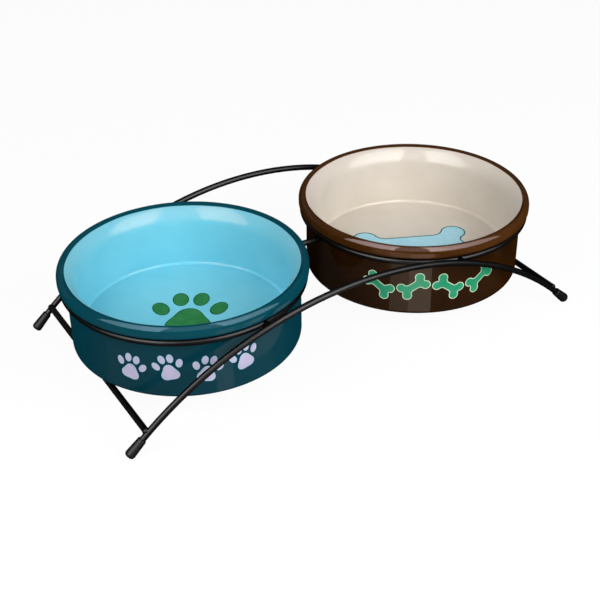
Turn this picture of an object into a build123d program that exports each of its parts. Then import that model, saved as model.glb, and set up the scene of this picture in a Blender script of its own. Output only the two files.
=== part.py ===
"""Double pet bowl: two thick-rimmed stoneware bowls hanging in a welded wire stand.

The frame: +X runs along the stand from the left bowl to the right bowl, +Y to the back and
+Z up. The origin lies on the floor, midway between the four feet. All sizes are millimetres.
"""

import os
from math import acos, asin, cos, degrees, pi, radians, sin, sqrt, tan

from build123d import *

# The bowls
body_d = 140.0               # across the straight outer wall
bowl_height = 51.0           # from the foot of the bowl to the top of the rim
wall = 6.2                   # thickness of the wall below the rim
rim_height = 8.6             # from the level underside of the rim to its top
rim_overhang = 5.0           # how far the rim stands out past the outer wall
shoulder_round = 4.9         # rounding of the rim's outer shoulder
crest_round = 1.3            # rounding over the crest of the rim
crest_angle = 50.0           # degrees that the shoulder turns before the crest begins
rim_under_round = 2.8        # rounding of the rim's lower edge
lip_round = 15.0             # how gently the inner wall turns out into the rim
base_round = 3.5             # rounding from the wall into the base
floor_z = 10.0               # inner floor above the foot
floor_round = 2.0            # rounding from the inner wall into the floor
foot_width = 6.0             # width of the level foot ring under the bowl
foot_recess = 1.4            # depth of the hollow inside the foot ring
rim_gap = 16.4               # free space between the two rims

# The wire stand
wire_d = 3.9                 # over the paint
ring_play = 0.35             # between a ring and the bowl's wall
seat_gap = 0.3               # between a ring and the rim that rests on it
ring_drop = 10.8             # from the crown of an arch down to the rings
arch_side_gap = 0.32         # between an arch's crown and the rings, seen from above
arch_lean = 2.14             # degrees that an arch leans out from its feet to its crown
bar_inset = 8.3              # from the end of a bowl's wall in to the cross bar under it
bar_clearance = 1.3          # between a cross bar and the bowl's foot
bar_proud = 1.2              # how far a cross bar stands above the middle of the leg
bar_above_cap = 5.0          # along the leg, from the mouth of the foot cap to the bar
bar_end_round = 1.0          # rounding of a cross bar's cut ends
weld_sink = 0.4              # how far the link wire is pressed into the rings

# The foot caps
cap_length = 12.5
cap_mouth_wall = 0.63        # thickness round the wire at the open end
cap_swell = 0.5              # how much wider the radius is at the closed end
cap_round = 1.7              # how far the rounded rim of the closed end reaches inwards
cap_dome = 2.0               # how far that rim reaches along the cap
cap_lip_round = 0.3          # rounding of the open end
cap_end_wall = 2.5           # thickness of the closed end
cap_fit = 0.02               # between the wire and the wall of the cap
pad_flat = 0.4               # depth of the level pad where a cap stands on the floor

# Worked out: the bowl's section
body_r = body_d / 2
wall_r = body_r - wall
rim_r = body_r + rim_overhang
seat_z = bowl_height - rim_height
crest_start = radians(crest_angle)
crest_reach = shoulder_round - crest_round
shoulder_middle_r = rim_r - shoulder_round
crest_middle_r = shoulder_middle_r + crest_reach * cos(crest_start)
crest_middle_z = bowl_height - crest_round
shoulder_middle_z = crest_middle_z - crest_reach * sin(crest_start)
lip_middle_r = wall_r + lip_round
lip_reach = lip_round - crest_round
lip_angle = acos((lip_middle_r - crest_middle_r) / lip_reach)
lip_middle_z = crest_middle_z - lip_reach * sin(lip_angle)
foot_edge_r = body_r - base_round
foot_inner_r = foot_edge_r - foot_width

# Worked out: the plan of the stand
wire_r = wire_d / 2
bowl_x = rim_r + rim_gap / 2
ring_r = body_r + ring_play + wire_r
arch_y = ring_r + wire_r + arch_side_gap + wire_r
bar_x = bowl_x + body_r - bar_inset

# Worked out: the bow of an arch, a circle through its crown and past the cross bars
bar_drop = ring_drop + bar_clearance + seat_z - seat_gap
bar_rise = bar_drop + bar_proud
bar_circle_r = (bar_x**2 + bar_rise**2) / (2 * bar_rise)
arch_r = bar_circle_r - bar_proud
bar_angle = asin(bar_x / bar_circle_r)
leg_angle = bar_angle + bar_above_cap / arch_r
leg_x = arch_r * sin(leg_angle)
leg_drop = arch_r * (1 - cos(leg_angle))

# Worked out: heights above the floor, from the pad under a cap up to the crown of an arch
socket_r = wire_r + cap_fit
socket_depth = cap_length - cap_end_wall
cap_mouth_r = socket_r + cap_mouth_wall
cap_wall_length = cap_length - cap_dome
cap_wall_r = cap_mouth_r + cap_swell
cap_flat_r = cap_wall_r - cap_round
cap_rim_reach = sqrt((cap_round * cos(leg_angle)) ** 2 + (cap_dome * sin(leg_angle)) ** 2)
cap_rim_drop = cap_wall_length * sin(leg_angle) + cap_flat_r * cos(leg_angle)
leg_z = cap_rim_drop + cap_rim_reach - pad_flat
crown_z = leg_z + leg_drop
ring_z = crown_z - ring_drop
bar_z = crown_z - bar_drop
bowl_z = ring_z + wire_r + seat_gap - seat_z

# Worked out: where the short wires go
spacer_x = sqrt(arch_r**2 - (arch_r - ring_drop) ** 2)
spacer_inner_y = sqrt(ring_r**2 - (bowl_x - spacer_x) ** 2)
spacer_outer_y = arch_y - ring_drop * tan(radians(arch_lean))
link_half = bowl_x - ring_r + wire_r
link_z = ring_z - wire_d + weld_sink
bar_half = arch_y - bar_drop * tan(radians(arch_lean))

# The four corners, and the ways that a primitive can stand on its plane
sides = {"front": -1, "back": 1}
ends = {"left": -1, "right": 1}
upright = (Align.CENTER, Align.CENTER, Align.MIN)
hanging = (Align.CENTER, Align.CENTER, Align.MAX)


def on_shoulder(angle):
    """A point on the rim's shoulder, from the angle above its upright face."""
    return (
        shoulder_middle_r + shoulder_round * cos(angle),
        shoulder_middle_z + shoulder_round * sin(angle),
    )


def on_crest(angle):
    """A point on the crest of the rim, from the angle above its outer side."""
    return (crest_middle_r + crest_round * cos(angle), crest_middle_z + crest_round * sin(angle))


def on_lip(angle):
    """A point on the lip, from the angle above the inner wall."""
    return (lip_middle_r - lip_round * cos(angle), lip_middle_z + lip_round * sin(angle))


def bowl_section():
    """Half of a bowl, cut through its axis: r to the right, z up from its foot."""
    outside = Polyline(
        (0, floor_z),
        (0, foot_recess),
        (foot_inner_r, foot_recess),
        (foot_inner_r, 0),
        (body_r, 0),
        (body_r, seat_z),
        (rim_r, seat_z),
        on_shoulder(0),
    )
    shoulder = ThreePointArc(on_shoulder(0), on_shoulder(crest_start / 2), on_crest(crest_start))
    crest = ThreePointArc(on_crest(crest_start), on_crest(pi / 2), on_crest(pi - lip_angle))
    lip = ThreePointArc(on_crest(pi - lip_angle), on_lip(lip_angle / 2), on_lip(0))
    inside = Polyline(on_lip(0), (wall_r, floor_z), (0, floor_z))
    section = make_face(outside + shoulder + crest + lip + inside)
    rim_corner = section.vertices().sort_by_distance((rim_r, seat_z))[0]
    section = fillet(rim_corner, radius=rim_under_round)
    base_corner = section.vertices().sort_by_distance((body_r, 0))[0]
    section = fillet(base_corner, radius=base_round)
    floor_corner = section.vertices().sort_by_distance((wall_r, floor_z))[0]
    return fillet(floor_corner, radius=floor_round)


def bowl(middle_x):
    """One bowl, hanging in its ring."""
    turned = revolve(Plane.XZ * bowl_section(), axis=Axis.Z)
    return Pos(middle_x, 0, bowl_z) * turned


def ring(middle_x):
    """A closed wire ring under the rim of a bowl."""
    return Pos(middle_x, 0, ring_z) * Torus(ring_r, wire_r)


def wire(start, end):
    """A straight piece of wire between two points."""
    run = Vector(end) - Vector(start)
    return Plane(origin=start, z_dir=run) * Cylinder(wire_r, run.length, align=upright)


def arch_plane(side):
    """The leaning plane of an arch: x along the stand, y up the lean, its origin at the crown."""
    lean = radians(arch_lean)
    return Plane(
        origin=(0, side * arch_y, crown_z),
        x_dir=(1, 0, 0),
        z_dir=(0, -cos(lean), side * sin(lean)),
    )


def leg_end(side, end):
    """Where the bow of an arch runs into a leg's straight tail: the point, the way it runs on
    and the way to its underside."""
    plane = arch_plane(side)
    point = plane.from_local_coords(Vector(end * leg_x, -leg_drop))
    way = plane.x_dir * (end * cos(leg_angle)) - plane.y_dir * sin(leg_angle)
    under = plane.x_dir * (-end * sin(leg_angle)) - plane.y_dir * cos(leg_angle)
    return point, way, under


def arch(side):
    """A bowed wire with a straight tail for the socket of each foot cap."""
    plane = arch_plane(side)
    start, start_way, start_under = leg_end(side, ends["left"])
    middle = plane.from_local_coords(Vector(0, -arch_r))
    section = Plane(origin=start, x_dir=start_under, z_dir=start_way) * Circle(wire_r)
    bow = revolve(section, axis=Axis(middle, -plane.z_dir), revolution_arc=2 * degrees(leg_angle))
    for end in ends.values():
        point, way, _ = leg_end(side, end)
        bow += wire(point, point + way * socket_depth)
    return bow


def cap_section():
    """Half of a foot cap, cut through its axis: r to the right, the closed end at the top."""
    tube = Polyline(
        (0, socket_depth),
        (socket_r, socket_depth),
        (socket_r, 0),
        (cap_mouth_r, 0),
        (cap_wall_r, cap_wall_length),
    )
    rim = EllipticalCenterArc(
        (cap_flat_r, cap_wall_length), cap_round, cap_dome, start_angle=0, arc_size=90
    )
    end = Polyline((cap_flat_r, cap_length), (0, cap_length), (0, socket_depth))
    section = make_face(tube + rim + end)
    lip = section.vertices().sort_by_distance((cap_mouth_r, 0))[0]
    return fillet(lip, radius=cap_lip_round)


def foot_cap(side, end):
    """A tapered cap with a blind socket, its closed end trimmed level with the floor."""
    cap = revolve(Plane.XZ * cap_section(), axis=Axis.Z)
    mouth, way, under = leg_end(side, end)
    cap = Plane(origin=mouth, x_dir=under, z_dir=way) * cap
    below = Box(2 * cap_length, 2 * cap_length, cap_length, align=hanging)
    return cap - Pos(mouth.X, mouth.Y, 0) * below


def spacer(ring_wire, arch_wire, side, end):
    """A stud between a ring and an arch, shaped to both at its ends."""
    inner = (end * spacer_x, side * spacer_inner_y, ring_z)
    outer = (end * spacer_x, side * spacer_outer_y, ring_z)
    return wire(inner, outer) - ring_wire - arch_wire


def crossbar(arches, end):
    """The wire from a front leg to a back leg, notched over both, its ends over their middles."""
    bar = wire((end * bar_x, -bar_half, bar_z), (end * bar_x, bar_half, bar_z))
    bar = fillet(bar.edges().filter_by(GeomType.CIRCLE), radius=bar_end_round)
    for leg in arches:
        bar -= leg
    return bar


def link(rings):
    """The wire under the two rings, hollowed where it is welded to them."""
    bar = wire((-link_half, 0, link_z), (link_half, 0, link_z))
    for ring_wire in rings:
        bar -= ring_wire
    return bar


parts = {}
for end_name, end in ends.items():
    parts[f"{end_name}_bowl"] = bowl(end * bowl_x)
    parts[f"{end_name}_ring"] = ring(end * bowl_x)
for side_name, side in sides.items():
    parts[f"{side_name}_arch"] = arch(side)

arches = [parts[f"{side_name}_arch"] for side_name in sides]
rings = [parts[f"{end_name}_ring"] for end_name in ends]
parts["ring_link"] = link(rings)
for end_name, end in ends.items():
    parts[f"{end_name}_crossbar"] = crossbar(arches, end)
    for side_name, side in sides.items():
        corner = f"{side_name}_{end_name}"
        ring_wire = parts[f"{end_name}_ring"]
        arch_wire = parts[f"{side_name}_arch"]
        parts[f"{corner}_spacer"] = spacer(ring_wire, arch_wire, side, end)
        parts[f"{corner}_foot_cap"] = foot_cap(side, end)

os.makedirs("parts", exist_ok=True)
for name, shape in parts.items():
    export_step(shape, f"parts/{name}.step")

print(f"arch radius {arch_r:.1f}, leg angle {degrees(leg_angle):.1f}, crown {crown_z:.1f}")
print(f"bowl foot {bowl_z:.1f}, ring {ring_z:.1f}, bar {bar_z:.1f} above the floor")
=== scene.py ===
# %% [markdown]
# # A double pet bowl on a wire stand
# Two stoneware bowls hang by their thick rims in a stand of bent and welded black wire.
# The CAD model is loaded first, as a fixed frame in metres, so that every piece made here has
# a place to go to. The wires and the foot caps keep their CAD shape and only get a finish.
# The bowls are turned again with a finer section, because glaze shows every facet.

# %% Load the frame
from math import acos, atan2, cos, pi, radians, sin, sqrt

import bmesh
import bpy
from mathutils import Matrix, Vector, noise


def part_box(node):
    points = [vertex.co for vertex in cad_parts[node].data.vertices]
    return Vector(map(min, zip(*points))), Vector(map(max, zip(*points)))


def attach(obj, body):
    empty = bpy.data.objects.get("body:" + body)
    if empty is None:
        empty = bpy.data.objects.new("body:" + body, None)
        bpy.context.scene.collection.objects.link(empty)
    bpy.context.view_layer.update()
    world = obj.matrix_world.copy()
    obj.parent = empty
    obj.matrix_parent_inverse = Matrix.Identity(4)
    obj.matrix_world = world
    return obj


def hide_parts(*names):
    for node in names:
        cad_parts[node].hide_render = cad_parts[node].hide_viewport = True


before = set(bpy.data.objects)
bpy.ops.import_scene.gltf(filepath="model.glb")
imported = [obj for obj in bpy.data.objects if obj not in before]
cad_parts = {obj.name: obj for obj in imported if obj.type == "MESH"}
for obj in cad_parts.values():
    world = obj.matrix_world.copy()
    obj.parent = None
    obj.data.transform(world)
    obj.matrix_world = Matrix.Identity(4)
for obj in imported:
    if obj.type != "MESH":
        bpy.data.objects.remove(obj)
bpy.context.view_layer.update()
MM = 0.001
scene = bpy.context.scene
scene.view_settings.view_transform = "Standard"

# %% [markdown]
# ## The camera
# The camera comes first, because everything after it is judged through it. Its place was found
# by fitting the rims, the feet of the bowls and the wires of the model to the picture. It looks
# down from the front left, and it is turned by 0.6 degrees about its own axis.

# %% Set up the camera
camera_azimuth = radians(-30.19)
camera_elevation = radians(32.49)
camera_roll = radians(-0.60)
camera_distance = 699.6 * MM
camera_aim = Vector((-30.6, -47.0, 47.2)) * MM
focal_pixels = 1180.75
frame_pixels = 600
sensor_width = 36.0

camera_back = Vector(
    (
        sin(camera_azimuth) * cos(camera_elevation),
        -cos(camera_azimuth) * cos(camera_elevation),
        sin(camera_elevation),
    )
)
camera_data = bpy.data.cameras.new("camera")
camera_data.sensor_width = sensor_width
camera_data.lens = sensor_width * focal_pixels / frame_pixels
camera = bpy.data.objects.new("camera", camera_data)
scene.collection.objects.link(camera)
camera_place = camera_aim + camera_back * camera_distance
camera_turn = camera_back.to_track_quat("Z", "Y").to_matrix() @ Matrix.Rotation(camera_roll, 3, "Z")
camera.matrix_world = Matrix.Translation(camera_place) @ camera_turn.to_4x4()
scene.camera = camera
print("lens in mm:", round(camera_data.lens, 2))

# %% [markdown]
# ## Colours and nodes
# Colours are written as sRGB hex values, the way they would be read from a paint chart, and one
# function turns them to the linear values that the shader works with. A second small function
# adds a node with its settings and its links, so that each finish below reads as a short list.

# %% Helpers for finishes
def colour(hex_value):
    """A linear colour from its sRGB hex value."""
    channels = [int(hex_value[i : i + 2], 16) / 255 for i in (1, 3, 5)]
    linear = [c / 12.92 if c <= 0.04045 else ((c + 0.055) / 1.055) ** 2.4 for c in channels]
    return (*linear, 1.0)


def add(tree, kind, feeds=None, **settings):
    """One node: its settings, and a value or the feeding socket for each input it names."""
    made = tree.nodes.new("ShaderNode" + kind)
    for name, value in settings.items():
        setattr(made, name, value)
    for name, value in (feeds or {}).items():
        if isinstance(value, bpy.types.NodeSocket):
            tree.links.new(value, made.inputs[name])
        else:
            made.inputs[name].default_value = value
    return made


def new_finish(name):
    """A material with an empty node tree."""
    finish = bpy.data.materials.new(name)
    finish.use_nodes = True
    finish.node_tree.nodes.clear()
    return finish, finish.node_tree


def per(size):
    """The texture scale that gives a pattern of this size, in millimetres."""
    return 1 / (size * MM)


# %% [markdown]
# ## Shine on dark surfaces
# A dark gloss surface shows what it mirrors more than its own colour, and towards its edges it
# mirrors nearly everything. Here that would be the pale floor, and the dark glaze would turn
# grey. The mirror level is therefore faded out with the Layer Weight node as the surface turns
# away, so the soft boxes still show as bright marks and the edges keep their colour.

# %% Helper for shine
shine_blend = 0.86
shine_end = 0.97


def shine(tree, level):
    """A mirror level that fades out as the surface turns away."""
    turned = add(tree, "LayerWeight", {"Blend": shine_blend})
    faded = add(
        tree,
        "MapRange",
        {"Value": turned.outputs["Facing"], "From Max": shine_end, "To Min": level, "To Max": 0.0},
    )
    return faded.outputs[0]


# %% [markdown]
# ## The stage
# A pale floor carries the object and keeps its soft shadow. The camera, and everything that
# mirrors the floor, sees it lifted to the white of the backdrop through the Light Path node, so
# that no extra light has to fall on the bowls to get a white picture.

# %% Make the floor and the world
floor_size = 6.0
floor_lift = 0.95
fill_level = 0.30


def seen_directly(tree):
    """One for what the camera sees, mirrored or through glass too, and zero for other light."""
    path = add(tree, "LightPath").outputs
    seen = add(tree, "Math", {0: path["Is Camera Ray"], 1: path["Is Glossy Ray"]}, operation="MAXIMUM")
    seen = add(tree, "Math", {0: seen.outputs[0], 1: path["Is Transmission Ray"]}, operation="MAXIMUM")
    return seen.outputs[0]


floor_finish, tree = new_finish("studio_floor")
lift = add(tree, "Math", {0: seen_directly(tree), 1: floor_lift}, operation="MULTIPLY")
plain = add(tree, "BsdfDiffuse", {"Color": colour("#F4F4F4")})
white = add(tree, "Emission", {"Color": colour("#FFFFFF"), "Strength": 1.0})
mixed = add(tree, "MixShader", {0: lift.outputs[0], 1: plain.outputs[0], 2: white.outputs[0]})
add(tree, "OutputMaterial", {"Surface": mixed.outputs[0]})

bm = bmesh.new()
bmesh.ops.create_grid(bm, x_segments=1, y_segments=1, size=floor_size / 2)
floor_mesh = bpy.data.meshes.new("floor")
bm.to_mesh(floor_mesh)
bm.free()
floor_mesh.materials.append(floor_finish)
floor = bpy.data.objects.new("floor", floor_mesh)
scene.collection.objects.link(floor)

world = bpy.data.worlds.new("studio")
scene.world = world
world.use_nodes = True
tree = world.node_tree
tree.nodes.clear()
fill = add(tree, "Background", {"Color": colour("#FFFFFF"), "Strength": fill_level})
white = add(tree, "Background", {"Color": colour("#FFFFFF"), "Strength": 1.0})
mixed = add(tree, "MixShader", {0: seen_directly(tree), 1: fill.outputs[0], 2: white.outputs[0]})
add(tree, "OutputWorld", {"Surface": mixed.outputs[0]})
print("floor of", floor_size, "m, fill light", fill_level)

# %% [markdown]
# ## The lamps
# The pale patches on the inner lips are mirror images of two soft boxes. The edges of the patches
# were traced back from the camera by way of both lips: one box stood upright close to the right
# bowl, the other further away on the left. A dim panel between them, in front, gives the faint
# veil between the patches, and a strip at the back gives the streaks on the rims. These faces
# only mirror, and two plain boxes do the lighting, so each can be set without upsetting the
# other. A lamp's energy is worked out from how bright its face is, so its size can change
# without its glow. Places and sizes are in metres and angles in degrees.

# %% Hang the soft boxes
softboxes = {
    "right_mirror": dict(place=(0.234, -0.40, 0.68), turn=0, tilt=0, size=(0.59, 1.14), glow=38.0),
    "left_mirror": dict(place=(-1.05, -0.30, 1.52), turn=-74, tilt=0, size=(1.04, 2.68), glow=38.0),
    "front_mirror": dict(place=(-0.35, -0.83, 1.33), turn=-23, tilt=0, size=(0.90, 2.15), glow=7.0),
    "back_mirror": dict(place=(0.14, 0.96, 0.28), turn=172, tilt=13, size=(2.6, 0.50), glow=3.0),
    "right_light": dict(place=(0.20, -0.61, 0.42), turn=18.5, tilt=30, size=(0.48, 0.44), glow=7.2),
    "left_light": dict(place=(-0.55, -0.16, 0.53), turn=-74, tilt=40, size=(0.48, 0.44), glow=4.6),
}


def hang(name, place, turn, tilt, size, glow):
    """A soft box that either lights the stand or is mirrored in it. Turned by 0 it stands in
    front and faces the back, and tilted by 90 degrees it faces the floor."""
    turn, tilt = radians(turn), radians(tilt)
    behind = Vector((sin(turn) * cos(tilt), -cos(turn) * cos(tilt), sin(tilt)))
    lamp = bpy.data.lights.new(name, "AREA")
    lamp.shape = "RECTANGLE"
    lamp.size, lamp.size_y = size
    lamp.energy = glow * pi * size[0] * size[1]
    hung = bpy.data.objects.new(name, lamp)
    facing = behind.to_track_quat("Z", "Y").to_matrix()
    hung.matrix_world = Matrix.Translation(place) @ facing.to_4x4()
    hung.visible_camera = False
    hung.visible_diffuse = name.endswith("_light")
    hung.visible_glossy = name.endswith("_mirror")
    scene.collection.objects.link(hung)
    print(name, "energy", round(lamp.energy, 2), "W")


for name, box in softboxes.items():
    hang(name, **box)

# %% [markdown]
# ## The section of a bowl
# A bowl is a turned shape, so it is drawn once as half a section and spun round its axis. The
# thick rim is three arcs that touch without a kink, a gentle lip inside, a narrow crest and a
# wide outer shoulder, and its underside is level. The rim's width and the height are read from
# the frame. The other sizes are those of the CAD model, with two small roundings more: one
# where the wall meets the rim, and one inside the foot ring.

# %% Measure the bowls
boxes = {end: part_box(f"{end}_bowl") for end in ("left", "right")}
middles = {end: (low.x + high.x) / 2 for end, (low, high) in boxes.items()}
left_low, left_high = boxes["left"]
rim_r = (left_high.x - left_low.x) / 2
bowl_height = left_high.z - left_low.z
foot_z = left_low.z
body_r = 70.0 * MM
wall_thickness = 6.2 * MM
rim_height = 8.6 * MM
shoulder_round = 4.9 * MM
crest_round = 1.3 * MM
crest_angle = radians(50)
rim_under_round = 2.8 * MM
lip_round = 15.0 * MM
seat_round = 0.5 * MM
base_round = 3.5 * MM
floor_height = 10.0 * MM
floor_round = 2.0 * MM
foot_width = 6.0 * MM
foot_recess = 1.4 * MM
foot_round = 0.5 * MM

wall_r = body_r - wall_thickness
seat_z = bowl_height - rim_height
crest_reach = shoulder_round - crest_round
shoulder_z = bowl_height - crest_round - crest_reach * sin(crest_angle)
shoulder_middle = Vector((rim_r - shoulder_round, shoulder_z))
crest_middle = shoulder_middle + crest_reach * Vector((cos(crest_angle), sin(crest_angle)))
under_middle = Vector((rim_r - rim_under_round, seat_z + rim_under_round))
lip_reach = lip_round - crest_round
lip_angle = acos((wall_r + lip_round - crest_middle.x) / lip_reach)
lip_middle = Vector((wall_r + lip_round, crest_middle.y - lip_reach * sin(lip_angle)))
foot_edge_r = body_r - base_round
foot_inner_r = foot_edge_r - foot_width
print("lip angle", round(lip_angle / radians(1), 1), "degrees")
print("seat", round(seat_z / MM, 2), "mm above the foot")

# %% [markdown]
# ## A pen for outlines
# The section could be typed as a list of points, but its round stretches would need dozens. Two
# operators act like a pen on a single point instead: an extrude leaves a straight edge behind
# it, and a spin leaves an arc. So the section takes one short line of code for each stretch.

# %% Draw the section
arc_steps = 12


def only_verts(items):
    """The points among mixed parts of a bmesh."""
    return [item for item in items if isinstance(item, bmesh.types.BMVert)]


def line_to(bm, pen, x, y):
    """Extrudes the pen's point to the next corner."""
    corner = bmesh.ops.extrude_vert_indiv(bm, verts=[pen])["verts"][0]
    corner.co = (x, y, 0)
    return corner


def turn_about(bm, pen, x, y, angle, steps=arc_steps):
    """Turns the pen's point about the middle of an arc, anticlockwise if the angle is positive."""
    arc = bmesh.ops.spin(bm, geom=[pen], cent=(x, y, 0), axis=(0, 0, 1), angle=angle, steps=steps)
    return only_verts(arc["geom_last"])[0]


def draw_bowl_section(bm):
    """Half of a bowl from the middle of its inner floor, over the rim, to the middle of its base."""
    pen = bm.verts.new((0, floor_height, 0))
    pen = line_to(bm, pen, (wall_r - floor_round) / 2, floor_height)
    pen = line_to(bm, pen, wall_r - floor_round, floor_height)
    pen = turn_about(bm, pen, wall_r - floor_round, floor_height + floor_round, pi / 2)
    pen = line_to(bm, pen, wall_r, lip_middle.y)
    pen = turn_about(bm, pen, *lip_middle, -lip_angle)
    pen = turn_about(bm, pen, *crest_middle, -(pi - lip_angle - crest_angle))
    pen = turn_about(bm, pen, *shoulder_middle, -crest_angle)
    pen = line_to(bm, pen, rim_r, under_middle.y)
    pen = turn_about(bm, pen, *under_middle, -pi / 2)
    pen = line_to(bm, pen, body_r + seat_round, seat_z)
    pen = turn_about(bm, pen, body_r + seat_round, seat_z - seat_round, pi / 2, arc_steps // 2)
    pen = line_to(bm, pen, body_r, base_round)
    pen = turn_about(bm, pen, foot_edge_r, base_round, -pi / 2)
    pen = line_to(bm, pen, foot_inner_r + foot_round, 0)
    pen = turn_about(bm, pen, foot_inner_r + foot_round, foot_round, -pi / 2, arc_steps // 2)
    pen = line_to(bm, pen, foot_inner_r, foot_recess)
    line_to(bm, pen, 0, foot_recess)


# %% [markdown]
# ## Putting a piece in the scene
# Every new piece ends the same way: doubles are merged, the faces are made to point outwards,
# the mesh becomes an object at the origin, and the object rides on a body of the frame.

# %% Helper for pieces
sharp_angle = radians(38)
double_distance = 1e-7


def put_in_scene(bm, name, finishes, body):
    """Closes a bmesh and makes it a piece that rides on a body of the frame."""
    bmesh.ops.remove_doubles(bm, verts=bm.verts, dist=double_distance)
    bmesh.ops.recalc_face_normals(bm, faces=bm.faces)
    mesh = bpy.data.meshes.new(name)
    bm.to_mesh(mesh)
    bm.free()
    mesh.shade_smooth()
    mesh.set_sharp_from_angle(angle=sharp_angle)
    for finish in finishes:
        mesh.materials.append(finish)
    piece = bpy.data.objects.new(name, mesh)
    scene.collection.objects.link(piece)
    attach(piece, body)
    print(name, len(mesh.polygons), "faces")
    return piece


# %% [markdown]
# ## Gloss glaze on stoneware
# Each bowl is dipped in a dark glaze outside and has a pale glaze poured inside, and both are
# fired to a glass. Glass gives sharp mirror images on a faintly rippled skin, and the colour is
# a little uneven, because the glaze pools and thins. It thins most over the rim: there the dark
# glaze is paler, and the pale one lets some clay through. The pale glaze's lip colour also holds
# painted shade. On the left bowl it is greyer and less blue than the wall, to offset the extra
# lamp light that the upturned lip catches. The two glazes meet just inside the crest of the rim
# in a line that is not quite even.

# %% Choose the glazes
glazes = {
    "left": {
        "outside": "#06313C",
        "outside_thin": "#033E4A",
        "inside": "#72C5D8",
        "inside_thin": "#7CCBDD",
        # A lip colour is clay through thin glaze plus painted shade: greyer and less blue where the
        # upturned lip catches more light.
        "lip_clay_and_shade": "#76BBCD",
        "edge_r": 69.9 * MM,
    },
    "right": {
        "outside": "#1F0F03",
        "outside_thin": "#40240A",
        "inside": "#CEC5B9",
        "inside_thin": "#D5CDC2",
        "lip_clay_and_shade": "#CEC4BA",
        "edge_r": 70.2 * MM,
    },
}
# A mirror level and the tint of what is mirrored, for the two sides of each bowl.
gloss_coats = {
    "left": {"outside": (0.072, "#BCE7FF"), "inside": (0.075, "#FFC8B4")},
    "right": {"outside": (0.090, "#FFE4E4"), "inside": (0.075, "#FFFFFF")},
}
for end, dip in glazes.items():
    print(end, "glazes meet", round(dip["edge_r"] / MM, 1), "mm from the axis")

# %% [markdown]
# ## Where each glaze lies
# The border between the glazes could follow the edges of the mesh, but a turned edge is too even
# and too sharp for poured glaze. The shader finds it instead: it measures each point's distance
# from the bowl's axis and its height, and noise lets the border wander.

# %% Find the border of the glazes
glaze_edge_drop = 2.0 * MM
glaze_edge_z = bowl_height - glaze_edge_drop
glaze_edge_wander = 0.3 * MM
glaze_edge_soft = 0.35 * MM
under_edge_z = floor_height / 2
under_edge_soft = 1.0 * MM


def where_dark(tree, spot, height, wander, edge_r):
    """One where the dark glaze lies and zero where the pale one does."""
    flat = add(tree, "VectorMath", {0: spot, 1: (1, 1, 0)}, operation="MULTIPLY")
    radius = add(tree, "VectorMath", {0: flat.outputs[0]}, operation="LENGTH")
    edge = add(
        tree,
        "MapRange",
        {
            "Value": height,
            "From Min": lip_middle.y,
            "From Max": glaze_edge_z,
            "To Min": (wall_r + body_r) / 2,
            "To Max": edge_r,
        },
    )
    drift = add(
        tree,
        "MapRange",
        {"Value": wander, "To Min": -glaze_edge_wander, "To Max": glaze_edge_wander},
    )
    edge = add(tree, "Math", {0: edge.outputs[0], 1: drift.outputs[0]}, operation="ADD")
    past = add(tree, "Math", {0: radius.outputs["Value"], 1: edge.outputs[0]}, operation="SUBTRACT")
    is_outside = add(
        tree,
        "MapRange",
        {"Value": past.outputs[0], "From Min": -glaze_edge_soft / 2, "From Max": glaze_edge_soft / 2},
        interpolation_type="SMOOTHSTEP",
    )
    is_under = add(
        tree,
        "MapRange",
        {"Value": height, "From Min": under_edge_z, "From Max": under_edge_z - under_edge_soft},
    )
    dark = add(tree, "Math", {0: is_outside.outputs[0], 1: is_under.outputs[0]}, operation="MAXIMUM")
    return dark.outputs[0]


# %% [markdown]
# ## Thick and thin glaze
# Glaze runs before it sets, so it pools in clouds on a wall and draws thin over a rim. Painting
# that by hand would take a picture for each bowl. Noise gives the clouds instead, and a point's
# height tells how near it is to the rim.

# %% Mix the glaze colours
pooling_share = 0.25
rim_thinning = 0.8


def dark_colour(tree, height, pooled, outside, outside_thin):
    """The outer glaze: cloudy where it pools, and thin over the rim."""
    stretched = add(
        tree,
        "MapRange",
        {"Value": height, "From Min": seat_z, "From Max": under_middle.y, "To Max": rim_thinning},
        interpolation_type="SMOOTHSTEP",
    )
    thinned = add(
        tree,
        "Math",
        {0: pooled, 1: pooling_share, 2: stretched.outputs[0]},
        operation="MULTIPLY_ADD",
        use_clamp=True,
    )
    glaze = add(
        tree,
        "Mix",
        {"Factor": thinned.outputs[0], 6: colour(outside), 7: colour(outside_thin)},
        data_type="RGBA",
    )
    return glaze.outputs[2]


def pale_colour(tree, height, pooled, inside, inside_thin, lip_clay_and_shade):
    """The inner glaze: cloudy where it pools; on the lip, clay through thin glaze and painted shade."""
    wall_glaze = add(
        tree,
        "Mix",
        {"Factor": pooled, 6: colour(inside), 7: colour(inside_thin)},
        data_type="RGBA",
    )
    # Towards the rim the colour turns to the lip colour, which holds painted shade for the light the
    # upturned lip catches.
    on_lip = add(
        tree,
        "MapRange",
        {"Value": height, "From Min": lip_middle.y, "From Max": bowl_height},
        interpolation_type="SMOOTHSTEP",
    )
    glaze = add(
        tree,
        "Mix",
        {"Factor": on_lip.outputs[0], 6: wall_glaze.outputs[2], 7: colour(lip_clay_and_shade)},
        data_type="RGBA",
    )
    return glaze.outputs[2]


# %% [markdown]
# ## The skin of the glaze
# A fired glaze is never quite flat: a slow swell bends the mirror images, and a finer one breaks
# up their edges. Both are far too shallow to model, so they are two Bump nodes, one on top of
# the other. The sizes of their patterns are in millimetres.

# %% Ripple the glaze
ripple_size = 14.0
ripple_depth = 0.10 * MM
ripple_strength = 0.14
peel_size = 1.6
peel_depth = 0.01 * MM
peel_strength = 0.12


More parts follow.
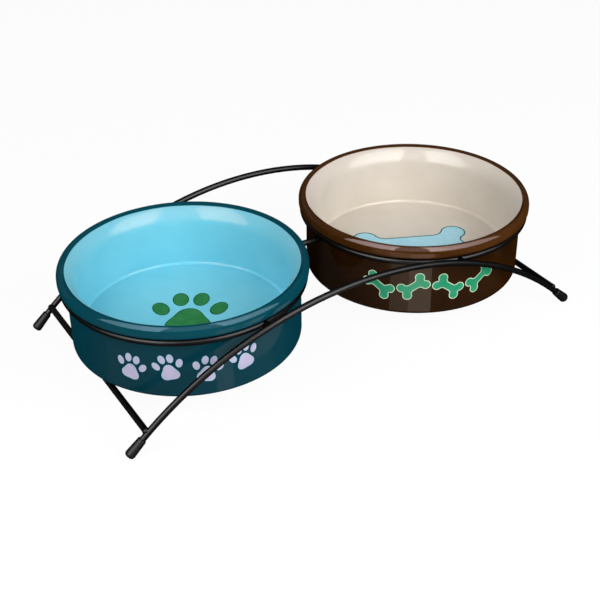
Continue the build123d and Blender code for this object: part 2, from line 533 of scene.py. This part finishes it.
def rippled_skin(tree, spot):
    """The surface normal of a faintly rippled glaze."""
    ripple = add(tree, "TexNoise", {"Vector": spot, "Scale": per(ripple_size), "Detail": 2.0})
    swell = add(
        tree,
        "Bump",
        {"Height": ripple.outputs["Fac"], "Distance": ripple_depth, "Strength": ripple_strength},
    )
    peel = add(tree, "TexNoise", {"Vector": spot, "Scale": per(peel_size), "Detail": 1.0})
    skin = add(
        tree,
        "Bump",
        {
            "Height": peel.outputs["Fac"],
            "Distance": peel_depth,
            "Strength": peel_strength,
            "Normal": swell.outputs[0],
        },
    )
    return skin.outputs[0]


# %% [markdown]
# ## The finished glaze
# Colours, gloss and skin come together in a Principled shader. Each side of a bowl is a material
# of its own, so that it can have its own mirror level and tint. A gloss is a range of roughness.
# Glass, fired clay, paint and vinyl all have about the same index of refraction, so one value
# serves them all.

# %% Mix the glazes
usual_ior = 1.5
wander_size = 34.0
pooling_size = 26.0
cloud_low, cloud_high = 0.3, 0.7
glaze_gloss = (0.012, 0.032)


def mix_glaze(name, mirror, tint, middle_x, dip):
    """Two gloss glazes on one bowl: a dark one outside and a pale one inside."""
    finish, tree = new_finish(name)
    place = add(tree, "TexCoord")
    centred = add(
        tree,
        "Mapping",
        {"Vector": place.outputs["Object"], "Location": (-middle_x, 0, -foot_z)},
    )
    spot = centred.outputs[0]
    height = add(tree, "SeparateXYZ", {0: spot}).outputs["Z"]
    drifting = add(tree, "TexNoise", {"Vector": spot, "Scale": per(wander_size), "Detail": 1.0})
    wander = drifting.outputs["Fac"]
    pooling = add(tree, "TexNoise", {"Vector": spot, "Scale": per(pooling_size), "Detail": 3.0})
    pooled = add(
        tree,
        "MapRange",
        {"Value": pooling.outputs["Fac"], "From Min": cloud_low, "From Max": cloud_high},
    ).outputs[0]
    pale = pale_colour(tree, height, pooled, dip["inside"], dip["inside_thin"], dip["lip_clay_and_shade"])
    dark = dark_colour(tree, height, pooled, dip["outside"], dip["outside_thin"])
    both = add(
        tree,
        "Mix",
        {"Factor": where_dark(tree, spot, height, wander, dip["edge_r"]), 6: pale, 7: dark},
        data_type="RGBA",
    )
    gloss = add(
        tree,
        "MapRange",
        {"Value": wander, "To Min": glaze_gloss[0], "To Max": glaze_gloss[1]},
    )
    glass = add(
        tree,
        "BsdfPrincipled",
        {
            "Base Color": both.outputs[2],
            "Roughness": gloss.outputs[0],
            "IOR": usual_ior,
            "Specular IOR Level": shine(tree, mirror),
            "Specular Tint": colour(tint),
            "Normal": rippled_skin(tree, spot),
        },
    )
    add(tree, "OutputMaterial", {"Surface": glass.outputs[0]})
    return finish


# %% [markdown]
# ## Bare stoneware
# The level foot ring is wiped clean before firing, so it shows bare clay: pale, dry and gritty.
# It is seen only when a bowl is lifted out, so one noise does for its colour and its grain.

# %% Leave the clay bare
clay_grit = 0.7
clay_grit_depth = 0.08 * MM
clay_grit_strength = 0.6
clay_roughness = 0.85

clay, tree = new_finish("bare_stoneware")
place = add(tree, "TexCoord")
grit = add(
    tree,
    "TexNoise",
    {"Vector": place.outputs["Object"], "Scale": per(clay_grit), "Detail": 3.0},
)
body = add(
    tree,
    "Mix",
    {"Factor": grit.outputs["Fac"], 6: colour("#C9B79E"), 7: colour("#E2D5C1")},
    data_type="RGBA",
)
bump = add(
    tree,
    "Bump",
    {"Height": grit.outputs["Fac"], "Distance": clay_grit_depth, "Strength": clay_grit_strength},
)
dry = add(
    tree,
    "BsdfPrincipled",
    {
        "Base Color": body.outputs[2],
        "Roughness": clay_roughness,
        "IOR": usual_ior,
        "Normal": bump.outputs[0],
    },
)
add(tree, "OutputMaterial", {"Surface": dry.outputs[0]})
print("clay with a grit of", clay_grit, "mm")

# %% [markdown]
# ## Turning the bowls
# The section is laid upright and spun through a whole turn. A full spin needs its seam merged,
# and the two points on the axis become poles once their doubles are merged.

# %% Turn both bowls
turn_steps = 160
outside_face, inside_face, foot_face = 0, 1, 2
for end, dip in glazes.items():
    bm = bmesh.new()
    draw_bowl_section(bm)
    bmesh.ops.rotate(bm, verts=bm.verts, cent=(0, 0, 0), matrix=Matrix.Rotation(pi / 2, 3, "X"))
    bmesh.ops.spin(
        bm,
        geom=bm.verts[:] + bm.edges[:],
        cent=(0, 0, 0),
        axis=(0, 0, 1),
        angle=2 * pi,
        steps=turn_steps,
        use_merge=True,
    )
    bmesh.ops.translate(bm, verts=bm.verts, vec=(middles[end], 0, foot_z))
    for face in bm.faces:
        middle = face.calc_center_median() - Vector((middles[end], 0, foot_z))
        if all(vert.co.z < foot_z + foot_round for vert in face.verts):
            face.material_index = foot_face
        elif middle.z > under_edge_z and middle.xy.length < dip["edge_r"]:
            face.material_index = inside_face
        else:
            face.material_index = outside_face
    coats = [
        mix_glaze(f"{end}_{side}_glaze", mirror, tint, middles[end], dip)
        for side, (mirror, tint) in gloss_coats[end].items()
    ]
    bowl = put_in_scene(bm, f"{end}_glazed_bowl", [*coats, clay], f"{end}_bowl")
    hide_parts(f"{end}_bowl")

# %% [markdown]
# ## Figures under the glaze
# Both bowls are decorated under the glaze: a row of figures on the front of the outer wall, and
# one large figure on the inner floor. Plain bones and paw prints are used. Each figure is drawn
# flat. A bone needs only a quarter of its outline, which is mirrored twice. A paw print is a
# circle with three soft lobes and four ovals. The outline is an inset of the face.
# A paw's sizes are shares of its width.

# %% Draw the figures
knob_end = radians(60)
mirror_distance = 1e-6
pad_r = 0.29
pad_drop = 0.22
pad_lobes = 3
lobe_height = 0.14
toe_r = 0.165
toe_slimness = 0.68
inner_toe = {"out": 0.14, "up": 0.33, "lean": radians(6)}
outer_toe = {"out": 0.39, "up": 0.10, "lean": radians(24)}


def draw_bone(bm, knob_x, knob_y, knob_r, shaft_half, neck_r, notch_x):
    """A bone along x, from a quarter of its outline: shaft, hollow neck, round knob, notch."""
    neck_y = shaft_half + neck_r
    neck_x = knob_x - sqrt((knob_r + neck_r) ** 2 - (neck_y - knob_y) ** 2)
    meet = atan2(knob_y - neck_y, knob_x - neck_x)
    pen = bm.verts.new((0, shaft_half, 0))
    pen = line_to(bm, pen, neck_x, shaft_half)
    pen = turn_about(bm, pen, neck_x, neck_y, pi / 2 + meet)
    pen = turn_about(bm, pen, knob_x, knob_y, -(pi + meet + knob_end), 2 * arc_steps)
    line_to(bm, pen, notch_x, 0)
    for axis in "XY":
        bmesh.ops.mirror(bm, geom=bm.verts[:] + bm.edges[:], axis=axis, merge_dist=mirror_distance)
    bmesh.ops.contextual_create(bm, geom=bm.edges[:])


def draw_paw(bm, width):
    """A paw print with its toes towards y."""
    pad = bmesh.ops.create_circle(bm, cap_ends=True, segments=5 * arc_steps, radius=pad_r * width)
    for vert in pad["verts"]:
        vert.co *= 1 + lobe_height * cos(pad_lobes * (atan2(vert.co.y, vert.co.x) - pi / 2))
    bmesh.ops.translate(bm, verts=pad["verts"], vec=(0, -pad_drop * width, 0))
    for side in (-1, 1):
        for toe in (inner_toe, outer_toe):
            place = Matrix.Translation((side * toe["out"] * width, toe["up"] * width, 0))
            lean = Matrix.Rotation(-side * toe["lean"], 4, "Z")
            bmesh.ops.create_circle(
                bm,
                cap_ends=True,
                segments=3 * arc_steps,
                radius=toe_r * width,
                matrix=place @ lean @ Matrix.Diagonal((toe_slimness, 1, 1, 1)),
            )


def outline(bm, line_width):
    """An inset round each flat figure, in the second colour."""
    bmesh.ops.recalc_face_normals(bm, faces=bm.faces)
    edging = bmesh.ops.inset_region(
        bm,
        faces=bm.faces[:],
        thickness=line_width,
        use_boundary=True,
        use_even_offset=True,
    )
    for face in edging["faces"]:
        face.material_index = 1


# %% [markdown]
# ## Laying the figures down
# A figure is a film of colour, so it gets a thickness of a tenth of a millimetre and is sunk
# into the glaze by half of that. On the wall it has to bend: it is sliced into narrow strips,
# and then each point's distance along the row becomes an angle round the bowl.

# %% Helpers for laying figures
film = 0.10 * MM
strip = 1.5 * MM


def whole(bm):
    """Every point, edge and face of a bmesh."""
    return bm.verts[:] + bm.edges[:] + bm.faces[:]


def thicken(bm):
    """Makes flat figures a film, half of it below the surface."""
    top = bmesh.ops.extrude_face_region(bm, geom=bm.faces[:], use_keep_orig=True)["geom"]
    bmesh.ops.translate(bm, verts=only_verts(top), vec=(0, 0, film))
    bmesh.ops.translate(bm, verts=bm.verts, vec=(0, 0, -film / 2))


def set_in_row(bm, count, step, lift, tilt):
    """Copies a flat figure along x, leaning and rising by turns."""
    first = whole(bm)
    for place in range(count):
        swing = 1 if place % 2 else -1
        verts = only_verts(bmesh.ops.duplicate(bm, geom=first)["geom"])
        lean = Matrix.Rotation(swing * tilt, 3, "Z")
        bmesh.ops.rotate(bm, verts=verts, cent=(0, 0, 0), matrix=lean)
        along = (place - (count - 1) / 2) * step
        bmesh.ops.translate(bm, verts=verts, vec=(along, swing * lift, 0))
    bmesh.ops.delete(bm, geom=only_verts(first), context="VERTS")


def bend_round(bm, middle_x, middle_angle, height):
    """Bends flat figures round the outer wall of a bowl."""
    reach = int(max(abs(vert.co.x) for vert in bm.verts) / strip)
    for cut in range(-reach, reach + 1):
        place = (cut * strip, 0, 0)
        bmesh.ops.bisect_plane(bm, geom=whole(bm), plane_co=place, plane_no=(1, 0, 0))
    thicken(bm)
    for vert in bm.verts:
        angle = middle_angle + vert.co.x / body_r
        out = body_r + vert.co.z
        vert.co = (middle_x + out * sin(angle), -out * cos(angle), foot_z + height + vert.co.y)


def lay_on_floor(bm, x, y, turn):
    """Puts a flat figure on the inner floor of a bowl."""
    thicken(bm)
    bmesh.ops.rotate(bm, verts=bm.verts, cent=(0, 0, 0), matrix=Matrix.Rotation(turn, 3, "Z"))
    bmesh.ops.translate(bm, verts=bm.verts, vec=(x, y, foot_z + floor_height))


# %% [markdown]
# ## Underglaze colour
# Printed colour under clear glaze has the same glassy skin as the bowl, and it is a little
# cloudy, because the print goes on thinly.

# %% Mix the print colours
print_mirror = 0.06
print_cloud = 6.0
print_gloss = (0.02, 0.08)


def print_colour(name, full, thin):
    """Underglaze colour: slightly cloudy, under the same clear glass."""
    finish, tree = new_finish(name)
    place = add(tree, "TexCoord")
    cloud = add(
        tree,
        "TexNoise",
        {"Vector": place.outputs["Object"], "Scale": per(print_cloud), "Detail": 4.0},
    ).outputs["Fac"]
    spread = add(tree, "MapRange", {"Value": cloud, "From Min": cloud_low, "From Max": cloud_high})
    tone = add(
        tree,
        "Mix",
        {"Factor": spread.outputs[0], 6: colour(full), 7: colour(thin)},
        data_type="RGBA",
    )
    gloss = add(
        tree,
        "MapRange",
        {"Value": cloud, "To Min": print_gloss[0], "To Max": print_gloss[1]},
    )
    glass = add(
        tree,
        "BsdfPrincipled",
        {
            "Base Color": tone.outputs[2],
            "Roughness": gloss.outputs[0],
            "IOR": usual_ior,
            "Specular IOR Level": shine(tree, print_mirror),
        },
    )
    add(tree, "OutputMaterial", {"Surface": glass.outputs[0]})
    return finish


lilac = print_colour("lilac_underglaze", "#A6A1BF", "#B2ACC6")
pale_blue_line = print_colour("pale_blue_underglaze", "#93AEC6", "#A2B9CE")
jade = print_colour("jade_underglaze", "#22805C", "#2E8B67")
pale_green_line = print_colour("pale_green_underglaze", "#A9C0A3", "#B7CBAF")
leaf = print_colour("leaf_underglaze", "#2B7440", "#35804A")
dark_leaf_line = print_colour("dark_leaf_underglaze", "#1F5C3A", "#296844")
sky = print_colour("sky_underglaze", "#A2D4E4", "#AEDCEA")
dark_teal_line = print_colour("dark_teal_underglaze", "#2F6B70", "#3C787C")
print("8 print colours")

# %% [markdown]
# ## Paw prints on the left bowl
# Four lilac paw prints stand in a row round the wall and lean to and fro. A large green one lies
# on the floor, turned to stand upright for the camera. Both are the same drawing at two sizes.

# %% Lay the figures on the left bowl
row_count = 4
row_angle = radians(-25)
row_height = 20.5 * MM
row_step = 22.0 * MM
row_line = 0.55 * MM
paw_lift = 1.2 * MM
paw_tilt = radians(12)
paw_width = 17.5 * MM
floor_paw_width = 46 * MM
floor_paw_line = 0.8 * MM
floor_paw_shift = Vector((3, 3)) * MM
floor_paw_turn = radians(-30)

bm = bmesh.new()
draw_paw(bm, paw_width)
outline(bm, row_line)
set_in_row(bm, row_count, row_step, paw_lift, paw_tilt)
bend_round(bm, middles["left"], row_angle, row_height)
put_in_scene(bm, "left_wall_figures", [lilac, pale_blue_line], "left_bowl")

bm = bmesh.new()
draw_paw(bm, floor_paw_width)
outline(bm, floor_paw_line)
lay_on_floor(bm, middles["left"] + floor_paw_shift.x, floor_paw_shift.y, floor_paw_turn)
put_in_scene(bm, "left_floor_figure", [leaf, dark_leaf_line], "left_bowl")

# %% [markdown]
# ## Bones on the right bowl
# The bones sit in the same way: four jade ones round the wall, in a row of the same height and
# step as on the left bowl, and a large pale blue one on the floor. A bone is set by its knobs,
# its shaft, the hollow between them and the notch at its end, so the large one can be slimmer.

# %% Lay the figures on the right bowl
bone_lift = 0.6 * MM
bone_tilt = radians(36)
bone = {
    "knob_x": 6.9 * MM,
    "knob_y": 3.2 * MM,
    "knob_r": 3.1 * MM,
    "shaft_half": 2.6 * MM,
    "neck_r": 2.0 * MM,
    "notch_x": 8.3 * MM,
}
floor_bone = {
    "knob_x": 30.5 * MM,
    "knob_y": 11 * MM,
    "knob_r": 8.5 * MM,
    "shaft_half": 9.2 * MM,
    "neck_r": 7.0 * MM,
    "notch_x": 33.4 * MM,
}
floor_bone_line = 1.0 * MM
floor_bone_shift = Vector((3, 2)) * MM
floor_bone_turn = radians(-22.7)

bm = bmesh.new()
draw_bone(bm, **bone)
outline(bm, row_line)
set_in_row(bm, row_count, row_step, bone_lift, bone_tilt)
bend_round(bm, middles["right"], row_angle, row_height)
put_in_scene(bm, "right_wall_figures", [jade, pale_green_line], "right_bowl")

bm = bmesh.new()
draw_bone(bm, **floor_bone)
outline(bm, floor_bone_line)
lay_on_floor(bm, middles["right"] + floor_bone_shift.x, floor_bone_shift.y, floor_bone_turn)
put_in_scene(bm, "right_floor_figure", [sky, dark_teal_line], "right_bowl")

# %% [markdown]
# ## Black coats on the stand
# The stand is drawn steel wire, welded and then dipped or sprayed black and baked. The paint is
# nearly black with a brownish cast in the light, satin to gloss, and it has the fine skin of
# orange peel. The leg ends are pushed into caps of moulded soft vinyl, which are duller than
# the paint and a dark grey rather than black. Both are a cloudy dark tone under a fine grain, so
# one function mixes them from their own sizes.

# %% Mix the black coats
wire_mirror = 0.055


def black_coat(name, dark, light, cloud_size, gloss, grain_size, grain_depth, grain_strength):
    """A slightly cloudy black coat with a fine grain. Pattern sizes are in millimetres."""
    finish, tree = new_finish(name)
    spot = add(tree, "TexCoord").outputs["Object"]
    cloud = add(tree, "TexNoise", {"Vector": spot, "Scale": per(cloud_size), "Detail": 3.0})
    tone = add(
        tree,
        "Mix",
        {"Factor": cloud.outputs["Fac"], 6: colour(dark), 7: colour(light)},
        data_type="RGBA",
    )
    rough = add(tree, "MapRange", {"Value": cloud.outputs["Fac"], "To Min": gloss[0], "To Max": gloss[1]})
    grain = add(tree, "TexNoise", {"Vector": spot, "Scale": per(grain_size), "Detail": 2.0})
    skin = add(
        tree,
        "Bump",
        {"Height": grain.outputs["Fac"], "Distance": grain_depth, "Strength": grain_strength},
    )
    coat = add(
        tree,
        "BsdfPrincipled",
        {
            "Base Color": tone.outputs[2],
            "Roughness": rough.outputs[0],
            "IOR": usual_ior,
            "Specular IOR Level": shine(tree, wire_mirror),
            "Normal": skin.outputs[0],
        },
    )
    add(tree, "OutputMaterial", {"Surface": coat.outputs[0]})
    return finish


paint = black_coat(
    "stoved_black_paint",
    "#030304",
    "#0A0909",
    cloud_size=9.0,
    gloss=(0.22, 0.38),
    grain_size=1.1,
    grain_depth=0.03 * MM,
    grain_strength=0.4,
)
vinyl = black_coat(
    "moulded_black_vinyl",
    "#070708",
    "#121113",
    cloud_size=5.0,
    gloss=(0.42, 0.58),
    grain_size=0.5,
    grain_depth=0.04 * MM,
    grain_strength=0.5,
)
print(paint.name, "and", vinyl.name, "mixed")

# %% [markdown]
# ## Coating the wires and the caps
# Wires and caps have the right shape in the CAD model, so only the finish is new. Each CAD node
# is an object with one material slot, and its name ends in what it is, so two short lists say
# which nodes are painted wire and which are vinyl caps.

# %% Coat the wires and the caps
wire_ends = ("_arch", "_ring", "_crossbar", "_spacer", "_link")
wires = [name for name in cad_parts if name.endswith(wire_ends)]
for name in wires:
    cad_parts[name].material_slots[0].material = paint
caps = [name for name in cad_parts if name.endswith("_foot_cap")]
for name in caps:
    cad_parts[name].material_slots[0].material = vinyl
print(len(wires), "wires painted,", len(caps), "caps finished")

# %% [markdown]
# ## Weld beads
# Where two wires meet they are welded, and the paint covers a small uneven lump of metal. Each
# lump starts as a fine ball, is squashed to fit the joint, and is pushed in and out a little by
# noise so that no two are alike.

# %% Weld the joints
bead_r = 2.15 * MM
bead_unevenness = 0.10
bead_grain = 1.3 * MM
link_bead_squash = 0.8


def weld_bead(bm, place, size):
    """A squashed uneven ball."""
    shape = Matrix.Translation(place) @ Matrix.Diagonal((*size, 1))
    ball = bmesh.ops.create_icosphere(bm, subdivisions=3, radius=1.0, matrix=shape)
    for vert in ball["verts"]:
        vert.co += (vert.co - place) * bead_unevenness * noise.noise(vert.co / bead_grain)


bm = bmesh.new()
for name in wires:
    low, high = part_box(name)
    middle = (low + high) / 2
    if name.endswith("_spacer"):
        weld_bead(bm, middle, (bead_r, (high.y - low.y) / 2, bead_r))
    if name.endswith("_crossbar"):
        for end_y in (low.y, high.y):
            inwards = bead_r if end_y < 0 else -bead_r
            weld_bead(bm, Vector((middle.x, end_y + inwards / 2, middle.z)), (bead_r, bead_r, bead_r))
    if name.endswith("_link"):
        squashed = link_bead_squash * bead_r
        for end_x in (low.x, high.x):
            inwards = bead_r if end_x < 0 else -bead_r
            weld_bead(bm, Vector((end_x + inwards, 0, high.z)), (squashed, bead_r, squashed))
put_in_scene(bm, "weld_beads", [paint], "stand")

# %% [markdown]
# ## Light on the table
# The outer walls are upright, so to a camera that looks down they mirror the table just in front
# of them, and bright places on it show in the glaze as upright streaks. Each place is a flat
# fan. The two sides of a streak are angles round the wall, counted from the side that faces the
# camera, and the fan runs on from there along the mirrored way. The fans belong to the stage and
# show only in mirror images. Each lies a little higher than the one before, so none is hidden.

# %% Light the table
fan_near = 12 * MM
fan_far = 130 * MM
fan_lift = 0.1 * MM
fan_colour = "#FFF1DC"
# Each row is a bowl, the two angles in degrees and the glow.
streaks = [
    ("left", (-45, 12), 2.5),
    ("left", (21, 45), 2.5),
    ("left", (12, 21), 9.0),
    ("right", (-10, 0), 7.0),
    ("right", (0, 12), 13.0),
]


def light_table(level, end, first, last, glow):
    """A bright fan on the table, mirrored in a bowl's wall between two angles."""
    name = f"table_light_{level}"
    finish, tree = new_finish(name)
    bright = add(tree, "Emission", {"Color": colour(fan_colour), "Strength": glow})
    add(tree, "OutputMaterial", {"Surface": bright.outputs[0]})
    axis = Vector((middles[end], 0))
    to_camera = camera_place.xy - axis
    facing = atan2(to_camera.y, to_camera.x)
    bm = bmesh.new()
    angles = [radians(first + (last - first) * step / arc_steps) for step in range(arc_steps + 1)]
    corners = []
    for reach, side in ((fan_near, angles), (fan_far, angles[::-1])):
        for angle in side:
            wall_spot = Vector((cos(facing + angle), sin(facing + angle))) * body_r
            mirrored = Vector((cos(facing + 2 * angle), sin(facing + 2 * angle))) * reach
            corners.append(bm.verts.new((*(axis + wall_spot + mirrored), level * fan_lift)))
    bm.faces.new(corners)
    mesh = bpy.data.meshes.new(name)
    bm.to_mesh(mesh)
    bm.free()
    mesh.materials.append(finish)
    fan = bpy.data.objects.new(name, mesh)
    fan.visible_camera = False
    fan.visible_diffuse = False
    fan.visible_shadow = False
    scene.collection.objects.link(fan)


for level, (end, (first, last), glow) in enumerate(streaks, start=1):
    light_table(level, end, first, last, glow)
print(len(streaks), "bright places on the table")
